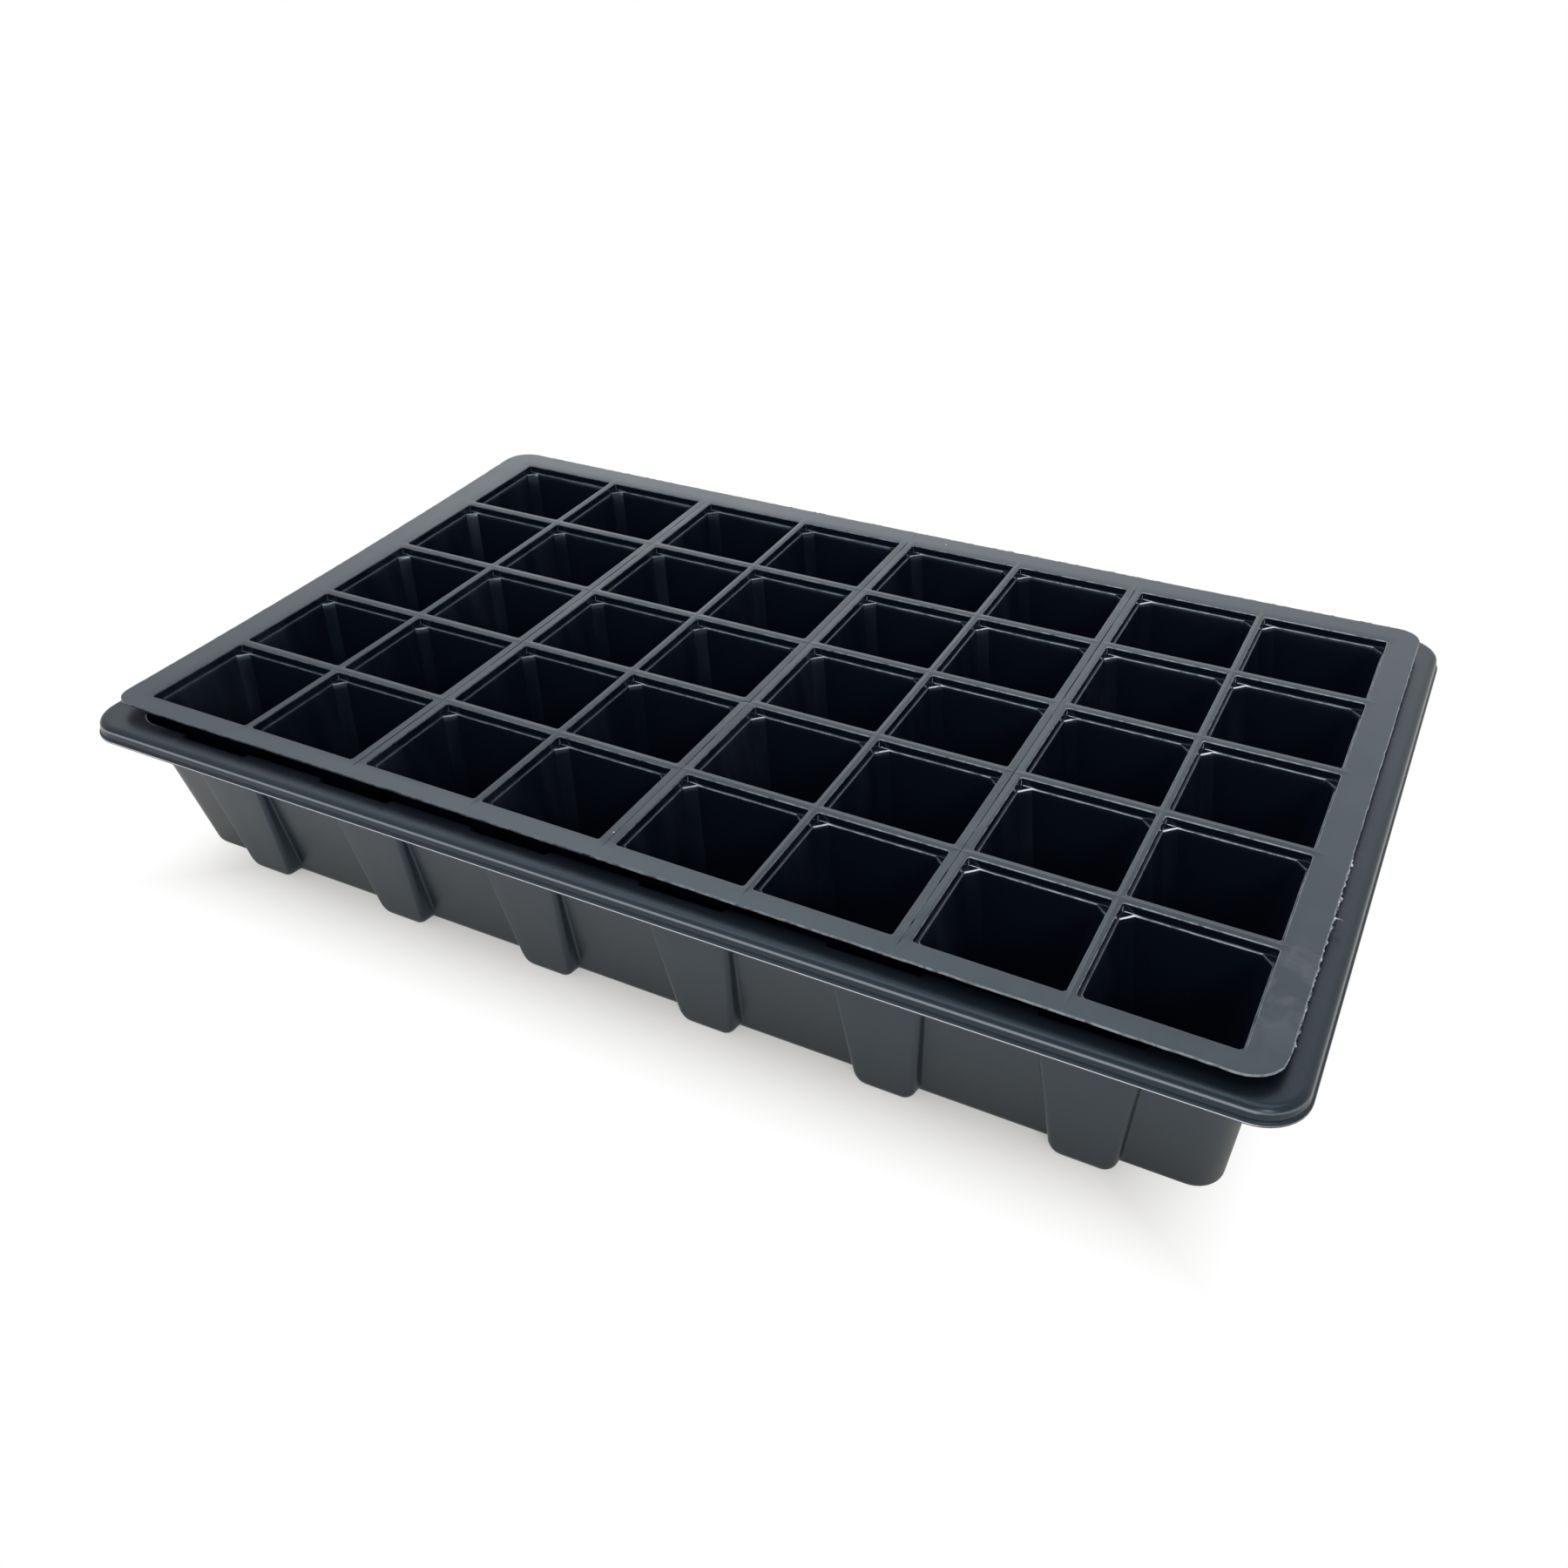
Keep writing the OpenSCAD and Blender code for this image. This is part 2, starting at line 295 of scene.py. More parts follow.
def blank_material(name):
    """Material whose node tree is still empty."""
    material = bpy.data.materials.new(name)
    material.use_nodes = True
    material.node_tree.nodes.clear()
    return material


# Satin polypropylene from a spark-eroded mould: an even charcoal, faintly cloudy, with a soft sheen and a
# fine grain. The real grain is about 0.1 mm and is drawn at 0.45 mm, so that it still shows in a picture
# of the whole tray. A painted highlight, marked on the mesh's points, turns the lip and the rim's
# shoulder pale. On a Mix node for colours the sockets are 0, 6 and 7 and the output is 2.
polypropylene = blank_material("satin charcoal polypropylene")
tree = polypropylene.node_tree
place = add(tree, "ShaderNodeTexCoord", "Object")
cloud = add(tree, "ShaderNodeTexNoise", "Fac", {"Vector": place, "Scale": 1 / (70 * mm), "Detail": 3.0})
grain = add(tree, "ShaderNodeTexNoise", "Fac", {"Vector": place, "Scale": 1 / (0.45 * mm), "Detail": 2.0})
sheen = add(tree, "ShaderNodeTexNoise", "Fac", {"Vector": place, "Scale": 1 / (12 * mm), "Detail": 4.0})
even = add(tree, "ShaderNodeValToRGB", "Color", {"Fac": cloud}, stops=[(0.3, "#0d1319"), (0.7, "#121a20")])
highlight_mark = add(tree, "ShaderNodeAttribute", "Fac", attribute_name="wear")
highlight_share = add(tree, "ShaderNodeMapRange", "Result", {"Value": highlight_mark, "From Min": 0.15, "From Max": 0.5})
# Pale colours of the painted highlight on the lip and the rim's shoulder.
pale = add(tree, "ShaderNodeValToRGB", "Color", {"Fac": highlight_mark}, stops=[(0.5, "#7c8087"), (1.0, "#f0f2f6")])
shade = add(tree, "ShaderNodeMix", 2, {0: highlight_share, 6: even, 7: pale}, data_type="RGBA")
rough = add(tree, "ShaderNodeMapRange", "Result", {"Value": sheen, "To Min": 0.27, "To Max": 0.36})
bump = add(tree, "ShaderNodeBump", "Normal", {"Height": grain, "Strength": 0.3, "Distance": 0.08 * mm})
surface = add(tree, "ShaderNodeBsdfPrincipled", "BSDF", {
    "Base Color": shade, "Roughness": rough, "Normal": bump,
    "IOR": 1.55, "Specular Tint": colour("#cfe8ff"),
})
add(tree, "ShaderNodeOutputMaterial", inputs={"Surface": surface})
tray_mesh.materials.append(polypropylene)
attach(tray, "tray")
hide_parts("outer_tray")

# Cell insert: one thin sheet of black polystyrene, drawn by vacuum into 8 x 5 square pots that stand on
# the tray's floor. Each has a short collar and a narrow ledge at its mouth, corners cut off at 45 degrees
# and a drain hole punched in its foot. The cells are all alike, so one is made here.
insert_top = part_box("cell_strip_1")[1].z / mm
sheet_thick = 0.6
cell_half = np.array([19.95, 19.3])
cell_round = 0.8
web_round = 0.4
collar_deep = 2.7
collar_lean = 0.1
fold_round = 0.15
ledge_wide = 0.7
ledge_round = 0.4
ledge_height = insert_top - collar_deep
foot_height = tray_wall + sheet_thick
foot_round_in = 1.3
foot_round_up = 1.5
pot_taper = 9.4
pot_cut = 3.1
foot_cut = 2.4
cut_round = 0.3
drain_radius = 4.0
drain_edge_drop = 0.2
side_steps = 18
corner_steps = 8
per_side = side_steps + corner_steps


def cell_outline(half, radius=None, cut=None):
    """Points round a cell at one height, with round corners, or with corners cut off at 45 degrees."""
    points = []
    for side in range(4):
        along, across = half[side % 2], half[1 - side % 2]
        if cut is None:
            corner = corner_arc(along, across, radius, corner_steps)
        else:
            first = np.array([along - cut, -across])
            second = np.array([along, cut - across])
            corner = turn_corner(first - [1, 0], first, second, cut_round, 3) + [(first + second) / 2]
            corner += turn_corner(first, second, second + [0, 1], cut_round, 3)
        end = corner[0][0]
        run = [np.array([end * (2 * k / side_steps - 1), -across]) for k in range(side_steps + 1)]
        points += quarter_turns(run + corner[1:-1], side)
    return np.array(points)


def pot_outline(height, extra=0.0):
    """Points round the inside of a pot, moved in by the extra."""
    share = (ledge_height - height) / (ledge_height - foot_height)
    inset = ledge_wide + pot_taper * share + extra
    return cell_outline(cell_half - inset, cut=pot_cut + (foot_cut - pot_cut) * share)


# Each ring is (outline, height, what it belongs to), from the web's edge down to the drain hole.
cell_rings = []
for angle in range(0, 91, 15):
    drop, out = rounding(web_round, angle)
    outline = cell_outline(cell_half + out, cell_round + out)
    cell_rings.append((outline, insert_top - drop, "web edge" if 30 <= angle <= 75 else ""))
collar_middle = insert_top - 0.55 * collar_deep
cell_rings.append((cell_outline(cell_half - 0.8 * collar_lean, cell_round), collar_middle, "collar corner"))
for angle in (90, 60, 30, 0):
    rise, inset = rounding(fold_round, angle)
    inset += collar_lean
    outline = cell_outline(cell_half - inset, cell_round - inset / 2)
    cell_rings.append((outline, ledge_height + rise, "fold" if angle < 90 else "collar corner"))
for angle in (0, 15, 30, 45, 60, 75):
    drop, inset = rounding(ledge_round, angle)
    belongs = {0: "fold", 75: ""}.get(angle, "ledge edge")
    cell_rings.append((pot_outline(ledge_height, -inset), ledge_height - drop, belongs))
for height in (56.5, 53, 45, 35, 25, 15, 8, foot_height + foot_round_up):
    cell_rings.append((pot_outline(height), height, ""))
for angle in (65, 45, 25, 0):
    rise = rounding(foot_round_up, angle)[0]
    inset = rounding(foot_round_in, angle)[1]
    cell_rings.append((pot_outline(foot_height, inset), foot_height + rise, ""))
foot_outline = cell_rings[-1][0]
hole_outline = foot_outline / np.linalg.norm(foot_outline, axis=1)[:, None] * drain_radius
for share, drop in ((0.5, 0.0), (0.93, 0.0), (1.0, drain_edge_drop)):
    outline = foot_outline * (1 - share) + hole_outline * share
    cell_rings.append((outline, foot_height - drop, ""))

# Painted highlights on a cell's edges, on the front, right, back and left side. They are strongest
# round the gusset in the back left corner, where a painted glint shows as a bright bracket: its cut
# edge, the fold behind it and the collar's upright corner.
back_side = 2
web_highlight = (0.45, 0.3, 0.5, 0.3)
ledge_highlight = (0.0, 0.05, 0.5, 0.14)
gusset_glint = 1.0
fold_glint = {side_steps - 1: 0.7, side_steps: 1.0}
collar_corner_glint = 0.8


def cell_highlight(belongs, side, step):
    """Painted highlight on one point of a cell's ring, by its side and its step along that side."""
    if belongs == "web edge":
        return web_highlight[side]
    if belongs == "ledge edge":
        return gusset_glint if side == back_side and step >= side_steps else ledge_highlight[side]
    if belongs == "fold" and side == back_side:
        return fold_glint.get(step, 0.0)
    if belongs == "collar corner" and side == back_side and step == side_steps + corner_steps // 2:
        return collar_corner_glint
    return 0.0


cell_count = 4 * per_side
cell_points = ring_points(cell_rings)
cell_faces = ring_faces(len(cell_rings), cell_count)
cell_highlights = []
for outline, z, belongs in cell_rings:
    cell_highlights += [cell_highlight(belongs, i // per_side, i % per_side) for i in range(cell_count)]
cell_form = put_in_scene("cell_form", make_mesh("cell_form", cell_points, [], cell_faces, wear=cell_highlights))

# Webs and flange of each strip: the flat sheet between and round the cells, crowned a little along the
# webs and trimmed with a ragged edge. The three wide webs are cut through along the tear lines, where the
# sheet has sprung up or down, and hold together at the front and back flange.
pair_pitch = 42.5
row_pitch = 41.9
strip_pitch = 87.8
first_middle = -131.7
strip_low = [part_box(f"cell_strip_{i}")[0] / mm for i in range(1, 5)]
strip_high = [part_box(f"cell_strip_{i}")[1] / mm for i in range(1, 5)]
last_strip = 3
last_row = 4
flange_round = 10.0
flange_round_small = 7.0
flange_skew = 3.0
sheet_deep = 226
web_crown = 0.12
crown_fade = 0.8
tear_reach = 120.0
tear_closed_from = 104.5
tear_closing = 0.04
tear_highlight = 0.4
trim_inset = 0.12
trim_waver = 0.2
trim_highlight = 0.5
touching = 1e-6

# A tear line is made up of stretches, each of them (width of the cut, how far its edges have sprung up).
tear_stretch = (3.0, 18.0)
tear_forms = ((0.12, -0.05), (0.16, -0.1), (0.2, 0.1), (0.25, -0.12), (0.3, -0.05))
tear_random = random.Random(11)
tear_gaps = []
for tear_line in range(3):
    gaps = []
    y = -tear_reach
    while y < tear_reach:
        y += tear_random.uniform(*tear_stretch)
        gaps.append((y, *tear_random.choice(tear_forms)))
    tear_gaps.append(gaps)


def tear(tear_line, y):
    """Width of the cut on a tear line and how far its edges stand up, irregular between the flanges."""
    if abs(y) > tear_closed_from:
        return 0.0, 0.0
    return next((width, rise) for end, width, rise in tear_gaps[tear_line] if y < end)


def trim(x, y):
    """How far the trimmed edge lies inside the sheet's full size: it wavers over about 3 mm and 0.8 mm."""
    long_waver = noise.noise(Vector((x * 0.35, y * 0.35, 3.1)))
    short_waver = noise.noise(Vector((x * 1.3, y * 1.3, 7.7)))
    return trim_inset + trim_waver * (long_waver + 0.6 * short_waver)


def crown(past_web):
    """Rise along the middle of a web, which fades out where the web runs into a wider one."""
    return web_crown * max(0.0, 1 - max(0.0, past_web) / crown_fade)


def tile_edge(strip, column, row):
    """Edge of the sheet that belongs to one cell, with its rise and painted highlight, and the middle of
    the cell.
    """
    middle_x = first_middle + strip_pitch * strip + pair_pitch * (column - 0.5)
    middle = np.array([middle_x, row_pitch * (row - 2)])
    left = strip_low[strip].x - middle[0] if column == 0 else -pair_pitch / 2
    right = strip_high[strip].x - middle[0] if column == 1 else pair_pitch / 2
    front = strip_low[strip].y - middle[1] if row == 0 else -row_pitch / 2
    back = strip_high[strip].y - middle[1] if row == last_row else row_pitch / 2
    left_end = strip == 0 and column == 0
    right_end = strip == last_strip and column == 1

    # From round the cell straight out to the tile's four sides, and along them to its corners.
    edge = cell_outline(cell_half + web_round, cell_round + web_round)
    tile_sides = ((1, front), (0, right), (1, back), (0, left))
    for side in range(4):
        axis, reach = tile_sides[side]
        edge[side * per_side:side * per_side + side_steps + 1, axis] = reach
    shares = 2 * np.arange(1, corner_steps) / corner_steps
    for side in range(4):
        next_axis, next_reach = tile_sides[(side + 1) % 4]
        start = edge[side * per_side + side_steps]
        end = edge[(side + 1) * per_side % len(edge)]
        vertex = start.copy()
        vertex[next_axis] = next_reach
        between = slice(side * per_side + side_steps + 1, (side + 1) * per_side)
        for axis in (0, 1):
            edge[between, axis] = np.interp(shares, (0, 1, 2), (start[axis], vertex[axis], end[axis]))

    # The sheet's own corners are rounded, two of them less than the others.
    toward = np.array([int(right_end) - int(left_end), int(row == last_row) - int(row == 0)])
    corner_radius = flange_round_small if toward[0] == toward[1] else flange_round
    corner = np.array([left if toward[0] < 0 else right, front if toward[1] < 0 else back])
    centre = corner - toward * corner_radius

    rise = np.zeros(len(edge))
    wear = np.zeros(len(edge))
    for i, (x, y) in enumerate(edge.copy()):
        at_left = x < left + touching
        at_right = x > right - touching
        at_front = y < front + touching
        at_back = y > back - touching
        torn_left = at_left and column == 0 and strip > 0
        torn_right = at_right and column == 1 and strip < last_strip
        if torn_left or torn_right:
            width, rise[i] = tear(strip - 1 if torn_left else strip, y + middle[1])
            edge[i, 0] += (width / 2 - tear_closing) * (1 if torn_left else -1)
            # Raised tear edges get a painted highlight.
            wear[i] = tear_highlight if rise[i] > 0 else 0.0
        elif (at_left and column == 1) or (at_right and column == 0):
            rise[i] = crown(abs(y) - row_pitch / 2)
        elif (at_front and row > 0) or (at_back and row < last_row):
            rise[i] = crown(abs(x) - pair_pitch / 2)
        way = edge[i] - centre
        if np.all(way * toward > 0):
            edge[i] = centre + way / np.linalg.norm(way) * corner_radius
        trimmed_x = (at_left and left_end) or (at_right and right_end)
        trimmed_y = (at_front and row == 0) or (at_back and row == last_row)
        for axis, trimmed in enumerate((trimmed_x, trimmed_y)):
            if trimmed:
                # Trimmed edges get a painted highlight.
                wear[i] = trim_highlight
                edge[i, axis] -= math.copysign(trim(x + middle[0], y + middle[1]), edge[i, axis])
        if left_end and edge[i, 0] < -cell_half[0] - web_round:
            edge[i, 0] += flange_skew * (0.5 - (y + middle[1]) / sheet_deep)
    return edge, rise, wear, middle


def settle(points):
    """Lay of the real sheet in the tray: nearly level, a little askew and drawn out to two corners."""
    # From where the eye is, the real sheet looks as a square one would if it were bent to these heights.
    # Little of that bend is kept, and the rest is taken as a shift in plan along the line of sight.
    eye = np.array([0.1911, -0.3579, 0.2943])
    u = points[:, 0] / (190 * mm)
    v = points[:, 1] / (120 * mm)
    bent = 59.839 - 1.405 * u + 0.754 * v - 0.155 * (u * u - 0.33) + 1.106 * (v * v - 0.33)
    bent += 0.511 * u * v - 0.519 * u * v * v + 0.858 * u * u * v
    bend_middle = 60
    bend_kept = 0.18
    sheet_level = 60.35
    level = sheet_level + bend_kept * (bent - bend_middle)
    shift = (eye[2] - level * mm) / (eye[2] - bent * mm)

    # The thin ledges have drawn up into ripples about 2 mm long.
    ripple_high = 0.07
    ripple_reach = 0.6
    ripple = np.sin(2900 * points[:, 0] + 700 * points[:, 1])
    ripple *= np.sin(400 * points[:, 0] - 3300 * points[:, 1])
    on_ledge = np.abs(points[:, 2] / mm - ledge_height) < ripple_reach
    stretch = (level - tray_wall) / (insert_top - tray_wall)
    height = tray_wall + (points[:, 2] / mm - tray_wall) * stretch + ripple_high * ripple * on_ledge
    points[:, 2] = height * mm
    points[:, :2] = eye[:2] + (points[:, :2] - eye[:2]) * shift[:, None]
    return points


# Gloss polystyrene, as drawn: nearly black with a hard sheen. Drawing the sheet down has left upright
# streaks on the pot walls, painted lighter on the walls that face the right as a painted sheen from the
# light at the front right. A paler mottled haze, a smudge and a few specks lie on the flange and webs.
# The edges carry pale painted highlights, brighter to the right. Painted highlight and hazed, on the
# mesh's points, say where.
polystyrene = blank_material("gloss black polystyrene")
tree = polystyrene.node_tree
place = add(tree, "ShaderNodeTexCoord", "Object")
axes = add(tree, "ShaderNodeSeparateXYZ", inputs={"Vector": place})
facing = add(tree, "ShaderNodeSeparateXYZ", inputs={"Vector": add(tree, "ShaderNodeNewGeometry", "Normal")})
level = add(tree, "ShaderNodeMapRange", "Result", {"Value": facing["Z"], "From Min": 0.6, "From Max": 0.95})
high = add(tree, "ShaderNodeMapRange", "Result", {
    "Value": axes["Z"], "From Min": 59.2 * mm, "From Max": 59.7 * mm,
})
flat = add(tree, "ShaderNodeMath", "Value", {0: level, 1: high}, operation="MULTIPLY")

# Upright streaks on the pot walls, shown only on walls that face the right and lighter there: a painted
# sheen from the light at the front right.
upright = add(tree, "ShaderNodeMapping", "Vector", {
    "Vector": place, "Scale": (1 / (12 * mm), 1 / (12 * mm), 1 / (90 * mm)),
})
streak = add(tree, "ShaderNodeTexNoise", "Fac", {"Vector": upright, "Scale": 1.0, "Detail": 2.0})
wall_facing_light = add(tree, "ShaderNodeMapRange", "Result", {
    "Value": facing["X"], "From Min": 0.2, "From Max": 0.8,
})
marks = add(tree, "ShaderNodeMapRange", "Result", {"Value": streak, "From Min": 0.42, "From Max": 0.8})
streaks_and_sheen = add(tree, "ShaderNodeMath", "Value", {0: wall_facing_light, 1: marks}, operation="MULTIPLY")
wall_streaks_and_sheen = add(tree, "ShaderNodeValToRGB", "Color", {"Fac": streaks_and_sheen}, stops=[
    (0.0, "#0c121c"), (1.0, "#1c2229"),
])

haze = add(tree, "ShaderNodeTexNoise", "Fac", {
    "Vector": place, "Scale": 1 / (30 * mm), "Detail": 6.0, "Roughness": 0.6,
})
hazy = add(tree, "ShaderNodeValToRGB", "Color", {"Fac": haze}, stops=[(0.4, "#293033"), (0.75, "#3a4144")])
handled = add(tree, "ShaderNodeAttribute", "Fac", attribute_name="handled")
mottled = add(tree, "ShaderNodeMix", 2, {0: handled, 6: colour("#14181b"), 7: hazy}, data_type="RGBA")

smudge_middle = (174 * mm, -83 * mm, 60 * mm)
off_smudge = add(tree, "ShaderNodeVectorMath", "Value", {0: place, 1: smudge_middle}, operation="DISTANCE")
near = add(tree, "ShaderNodeMapRange", "Result", {
    "Value": off_smudge, "From Min": 30 * mm, "From Max": 6 * mm,
})
smear = add(tree, "ShaderNodeTexNoise", "Fac", {
    "Vector": place, "Scale": 1 / (9 * mm), "Detail": 5.0, "Distortion": 1.2,
})
smears = add(tree, "ShaderNodeMapRange", "Result", {"Value": smear, "From Min": 0.45, "From Max": 0.7})
smudge = add(tree, "ShaderNodeMath", "Value", {0: near, 1: smears}, operation="MULTIPLY")
smudged = add(tree, "ShaderNodeMix", 2, {0: smudge, 6: mottled, 7: colour("#4d4e4c")}, data_type="RGBA")
dust = add(tree, "ShaderNodeTexVoronoi", "Distance", {"Vector": place, "Scale": 1 / (11 * mm)})
speck = add(tree, "ShaderNodeMapRange", "Result", {"Value": dust, "From Min": 0.035, "From Max": 0.02})
specked = add(tree, "ShaderNodeMix", 2, {0: speck, 6: smudged, 7: colour("#a4aaab")}, data_type="RGBA")
plain = add(tree, "ShaderNodeMix", 2, {0: flat, 6: wall_streaks_and_sheen, 7: specked}, data_type="RGBA")

# Painted highlights on the edges: pale, broken up in patches, and brighter to the right, towards the light
# at the front right.
highlight_mark = add(tree, "ShaderNodeAttribute", "Fac", attribute_name="wear")
highlight_breaks = add(tree, "ShaderNodeTexNoise", "Fac", {
    "Vector": place, "Scale": 1 / (3.5 * mm), "Detail": 4.0, "Roughness": 0.7,
})
patchy = add(tree, "ShaderNodeMapRange", "Result", {"Value": highlight_breaks, "From Min": 0.3, "From Max": 0.6})
to_right = add(tree, "ShaderNodeMapRange", "Result", {
    "Value": axes["X"], "From Min": -80 * mm, "From Max": 120 * mm, "To Min": 0.35,
})
broken_highlight = add(tree, "ShaderNodeMath", "Value", {0: patchy, 1: to_right}, operation="MULTIPLY")
graded = add(tree, "ShaderNodeMath", "Value", {0: highlight_mark, 1: to_right}, operation="MULTIPLY")
pale = add(tree, "ShaderNodeValToRGB", "Color", {"Fac": graded}, stops=[
    (0.2, "#7d858b"), (0.55, "#98a0a6"), (1.0, "#eef2f4"),
])
thin = add(tree, "ShaderNodeMath", "Value", {0: highlight_mark, 1: broken_highlight}, operation="MULTIPLY")
edges = add(tree, "ShaderNodeMapRange", "Result", {"Value": thin, "From Max": 0.4})
shade = add(tree, "ShaderNodeMix", 2, {0: edges, 6: plain, 7: pale}, data_type="RGBA")

# On a Mix node for numbers the sockets are 0, 2 and 3 and the output is 0. The bump is the slight orange
# peel of a drawn sheet.
rough_flat = add(tree, "ShaderNodeMapRange", "Result", {
    "Value": haze, "From Min": 0.35, "From Max": 0.75, "To Min": 0.3, "To Max": 0.42,
})
rough_wall = add(tree, "ShaderNodeMapRange", "Result", {"Value": streaks_and_sheen, "To Min": 0.16, "To Max": 0.34})
rough = add(tree, "ShaderNodeMix", 0, {0: flat, 2: rough_wall, 3: rough_flat})
peel = add(tree, "ShaderNodeTexNoise", "Fac", {"Vector": place, "Scale": 1 / (1.2 * mm), "Detail": 3.0})
bump = add(tree, "ShaderNodeBump", "Normal", {"Height": peel, "Strength": 0.1, "Distance": 0.06 * mm})
surface = add(tree, "ShaderNodeBsdfPrincipled", "BSDF", {
    "Base Color": shade, "Roughness": rough, "Normal": bump,
    "IOR": 1.6, "Specular Tint": colour("#cfe8ff"),
})
add(tree, "ShaderNodeOutputMaterial", inputs={"Surface": surface})


def start_group(name, inputs):
    """Node group that gives a shape, with its named inputs."""
    group = bpy.data.node_groups.new(name, "GeometryNodeTree")
    group.interface.new_socket("Geometry", in_out="OUTPUT", socket_type="NodeSocketGeometry")
    for label, kind in inputs.items():
        group.interface.new_socket(label, in_out="INPUT", socket_type="NodeSocket" + kind)
    return group


def grow(name, group, values):
    """Plain mesh of what a node group makes from the values of its inputs."""
    maker = put_in_scene("maker", bpy.data.meshes.new("maker"))
    modifier = maker.modifiers.new("maker", "NODES")
    modifier.node_group = group
    for socket in group.interface.items_tree:
        if socket.in_out == "INPUT":
            modifier[socket.identifier] = values[socket.name]
    bpy.context.view_layer.update()
    mesh = bpy.data.meshes.new_from_object(maker.evaluated_get(bpy.context.evaluated_depsgraph_get()))
    mesh.name = name
    bpy.data.objects.remove(maker)
    return mesh


# The cell is set out in rows on the sheet, and the whole is merged into one skin for each strip.
layout = start_group("cells_on_strip", {
    "Cell form": "Object", "Sheet": "Object", "Columns": "Int", "Rows": "Int", "Column span": "Float",
    "Row span": "Float", "Middle": "Vector", "Plastic": "Material",
})
given = add(layout, "NodeGroupInput")
grid = add(layout, "GeometryNodeMeshGrid", "Mesh", {
    "Size X": given["Column span"], "Size Y": given["Row span"],
    "Vertices X": given["Columns"], "Vertices Y": given["Rows"],
})
middles = add(layout, "GeometryNodeTransform", "Geometry", {
    "Geometry": grid, "Translation": given["Middle"],
})
form = add(layout, "GeometryNodeObjectInfo", "Geometry", {"Object": given["Cell form"]})
cells = add(layout, "GeometryNodeInstanceOnPoints", "Instances", {"Points": middles, "Instance": form})
webs = add(layout, "GeometryNodeObjectInfo", "Geometry", {"Object": given["Sheet"]})
joined = add(layout, "GeometryNodeJoinGeometry", "Geometry", {"Geometry": [cells, webs]})
real = add(layout, "GeometryNodeRealizeInstances", "Geometry", {"Geometry": joined})
merged = add(layout, "GeometryNodeMergeByDistance", "Geometry", {"Geometry": real, "Distance": 0.01 * mm})
coated = add(layout, "GeometryNodeSetMaterial", "Geometry", {
    "Geometry": merged, "Material": given["Plastic"],
})
add(layout, "NodeGroupOutput", inputs={"Geometry": coated})

# Each tile of the sheet is five rings from its edge in to the cell, as (share of the way out, share of
# the rise). Hazed is where the paler mottled colour lies: all of the flange, and the webs more and more
# to the right.
tile_rings = ((1.0, 1.0), (0.96, 0.97), (0.8, 0.8), (0.4, 0.2), (0.0, 0.0))
tile_inside = cell_outline(cell_half + web_round, cell_round + web_round)
cells_half = np.array([1.5 * strip_pitch + 0.5 * pair_pitch, 2 * row_pitch]) + cell_half + web_round
flange_haze_run = 1.5
web_haze_from = 20
web_haze_run = 70
strip_skins = []
for strip in range(4):
    sheet_points, sheet_faces, sheet_highlight, sheet_hazed = [], [], [], []
    for column in range(2):
        for row in range(5):
            edge, rise, edge_highlight, middle = tile_edge(strip, column, row)
            sheet_faces += ring_faces(len(tile_rings), len(edge), len(sheet_points))
            for share, lift in tile_rings:
                ring = tile_inside * (1 - share) + edge * share + middle
                heights = insert_top + lift * rise
                sheet_points += [(x * mm, y * mm, z * mm) for (x, y), z in zip(ring, heights)]
                sheet_highlight += list(edge_highlight if share == 1.0 else 0.0 * edge_highlight)
                past_cells = np.max(abs(ring) - cells_half, axis=1) / flange_haze_run
                rightward = (ring[:, 0] - web_haze_from) / web_haze_run
                sheet_hazed += list(np.clip(np.maximum(past_cells, rightward), 0.0, 1.0))
    sheet_mesh = make_mesh("sheet", sheet_points, [], sheet_faces, wear=sheet_highlight, handled=sheet_hazed)
    sheet = put_in_scene("sheet", sheet_mesh)
    strip_mesh = grow(f"cell_strip_skin_{strip + 1}", layout, {
        "Cell form": cell_form, "Sheet": sheet, "Columns": 2, "Rows": 5, "Column span": pair_pitch * mm,
        "Row span": 4 * row_pitch * mm, "Middle": ((first_middle + strip_pitch * strip) * mm, 0.0, 0.0),
        "Plastic": polystyrene,
    })
    bpy.data.objects.remove(sheet)
    places = np.empty(len(strip_mesh.vertices) * 3)
    strip_mesh.vertices.foreach_get("co", places)
    strip_mesh.vertices.foreach_set("co", settle(places.reshape(-1, 3)).ravel())
    strip_mesh.update()
    strip_mesh.shade_smooth()
    strip_mesh.set_sharp_from_angle(angle=math.radians(50))
    edge_uses = np.zeros(len(strip_mesh.edges), dtype=int)
    np.add.at(edge_uses, [loop.edge_index for loop in strip_mesh.loops], 1)
    for i in np.nonzero(edge_uses == 1)[0]:
        strip_mesh.edges[i].use_edge_sharp = True
    strip_skin = put_in_scene(f"cell_strip_skin_{strip + 1}", strip_mesh)
    thickness = strip_skin.modifiers.new("sheet thickness", "SOLIDIFY")
    thickness.thickness = sheet_thick * mm
    thickness.offset = -1.0
    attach(strip_skin, f"strip_{strip + 1}")
    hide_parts(f"cell_strip_{strip + 1}")
    strip_skins.append(strip_skin)
bpy.data.objects.remove(cell_form)

